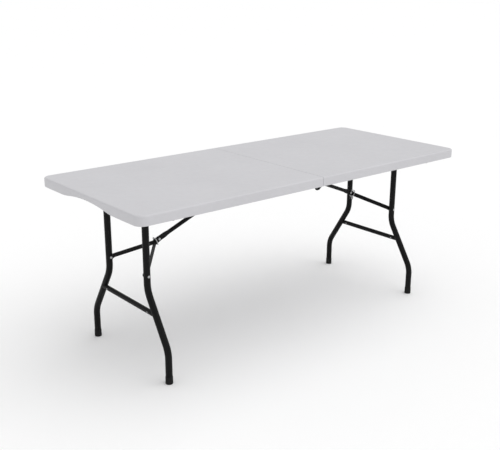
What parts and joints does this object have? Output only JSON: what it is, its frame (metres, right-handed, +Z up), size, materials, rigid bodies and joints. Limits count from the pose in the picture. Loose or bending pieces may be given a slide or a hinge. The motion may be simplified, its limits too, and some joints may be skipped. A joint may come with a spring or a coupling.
{
  "type": "folding table",
  "caption": "Folding table whose hollow moulded top folds in half; braced leg frames fold flat into its underside.",
  "frame": {"origin": "centre of the footprint, on the floor", "axes": "+X along the table's length, +Y across it, +Z up; the seam is at x = 0"},
  "size_m": [1.8, 0.75, 0.74],
  "materials": {
    "moulded_top": "light granite grey moulded polyethylene with a fine pebble texture",
    "dark_frame": "black-grey powder coat, satin",
    "zinc_fastener": "bright zinc plate",
    "foot_cap": "black moulded plastic",
    "handle_plastic": "black moulded plastic"
  },
  "bodies": {
    "left_half": {"left_tabletop": "moulded_top", "left_rail_screws": "zinc_fastener", "left_cross_member": "dark_frame", "left_strut_bracket": "dark_frame", "left_strut_pin": "zinc_fastener", "left_rail_rivets": "zinc_fastener", "left_far_rail": "dark_frame", "left_near_rail": "dark_frame", "left_far_hinge_leaf": "dark_frame", "left_near_hinge_leaf": "dark_frame", "left_far_pivot_bracket": "dark_frame", "left_near_pivot_bracket": "dark_frame", "handle_clips": "handle_plastic"},
    "right_half": {"right_tabletop": "moulded_top", "right_rail_screws": "zinc_fastener", "right_cross_member": "dark_frame", "right_strut_bracket": "dark_frame", "right_strut_pin": "zinc_fastener", "right_rail_rivets": "zinc_fastener", "right_far_rail": "dark_frame", "right_near_rail": "dark_frame", "right_far_hinge_leaf": "dark_frame", "right_near_hinge_leaf": "dark_frame", "right_far_pivot_bracket": "dark_frame", "right_near_pivot_bracket": "dark_frame"},
    "hinge_links": {"far_hinge_link": "dark_frame", "near_hinge_link": "dark_frame", "hinge_pins": "zinc_fastener"},
    "left_leg_frame": {"left_leg_pivot_tube": "dark_frame", "left_crossbar": "dark_frame", "left_crossbar_stubs": "dark_frame", "left_crossbar_rivets": "zinc_fastener", "left_leg_rivets": "zinc_fastener", "left_far_leg": "dark_frame", "left_near_leg": "dark_frame", "left_far_foot": "foot_cap", "left_near_foot": "foot_cap"},
    "left_strut": {"left_strut": "dark_frame"},
    "left_brace": {"left_far_brace_arm": "dark_frame", "left_near_brace_arm": "dark_frame", "left_brace_end_rivets": "zinc_fastener", "left_knuckle_rivet": "zinc_fastener"},
    "left_lock_ring": {"left_lock_ring": "zinc_fastener"},
    "right_leg_frame": {"right_leg_pivot_tube": "dark_frame", "right_crossbar": "dark_frame", "right_crossbar_stubs": "dark_frame", "right_crossbar_rivets": "zinc_fastener", "right_leg_rivets": "zinc_fastener", "right_far_leg": "dark_frame", "right_near_leg": "dark_frame", "right_far_foot": "foot_cap", "right_near_foot": "foot_cap"},
    "right_strut": {"right_strut": "dark_frame"},
    "right_brace": {"right_far_brace_arm": "dark_frame", "right_near_brace_arm": "dark_frame", "right_brace_end_rivets": "zinc_fastener", "right_knuckle_rivet": "zinc_fastener"},
    "right_lock_ring": {"right_lock_ring": "zinc_fastener"},
    "carry_handle": {"carry_handle": "handle_plastic"}
  },
  "joints": [
    {"name": "centre_fold_left", "type": "hinge", "parent": "left_half", "child": "hinge_links", "pos_m": [-0.01, 0, 0.694], "axis": [0, 1, 0], "range_deg": [0, 90]},
    {"name": "centre_fold_right", "type": "hinge", "parent": "hinge_links", "child": "right_half", "pos_m": [0.01, 0, 0.694], "axis": [0, 1, 0], "range_deg": [0, 90]},
    {"name": "left_leg_fold", "type": "hinge", "parent": "left_half", "child": "left_leg_frame", "pos_m": [-0.731, 0, 0.7], "axis": [0, -1, 0], "range_deg": [0, 90]},
    {"name": "left_strut_turn", "type": "hinge", "parent": "left_half", "child": "left_strut", "pos_m": [-0.03, 0, 0.7169], "axis": [0, 1, 0], "range_deg": [0, 22.01]},
    {"name": "left_knuckle_turn", "type": "hinge", "parent": "left_strut", "child": "left_brace", "pos_m": [-0.57618, 0, 0.49636], "axis": [0, -1, 0], "range_deg": [0, 168.19]},
    {"name": "left_ring_slide", "type": "slide", "parent": "left_strut", "child": "left_lock_ring", "axis": [0.9273, 0, 0.3744], "range_m": [0, 0.1501]},
    {"name": "right_leg_fold", "type": "hinge", "parent": "right_half", "child": "right_leg_frame", "pos_m": [0.731, 0, 0.7], "axis": [0, 1, 0], "range_deg": [0, 90]},
    {"name": "right_strut_turn", "type": "hinge", "parent": "right_half", "child": "right_strut", "pos_m": [0.03, 0, 0.7169], "axis": [0, -1, 0], "range_deg": [0, 22.01]},
    {"name": "right_knuckle_turn", "type": "hinge", "parent": "right_strut", "child": "right_brace", "pos_m": [0.57618, 0, 0.49636], "axis": [0, 1, 0], "range_deg": [0, 168.19]},
    {"name": "right_ring_slide", "type": "slide", "parent": "right_strut", "child": "right_lock_ring", "axis": [-0.9273, 0, 0.3744], "range_m": [0, 0.1501]},
    {"name": "handle_flip", "type": "hinge", "parent": "left_half", "child": "carry_handle", "pos_m": [-0.45, 0.362, 0.6925], "axis": [1, 0, 0], "range_deg": [0, 180]}
  ],
  "couplings": [
    {"joint": "left_strut_turn", "follows": "left_leg_fold", "ratio": 0.24431},
    {"joint": "left_knuckle_turn", "follows": "left_leg_fold", "ratio": 1.8686},
    {"joint": "left_ring_slide", "follows": "left_leg_fold", "m_per_rad": 0.095493},
    {"joint": "right_strut_turn", "follows": "right_leg_fold", "ratio": 0.24431},
    {"joint": "right_knuckle_turn", "follows": "right_leg_fold", "ratio": 1.8686},
    {"joint": "right_ring_slide", "follows": "right_leg_fold", "m_per_rad": 0.095493}
  ]
}
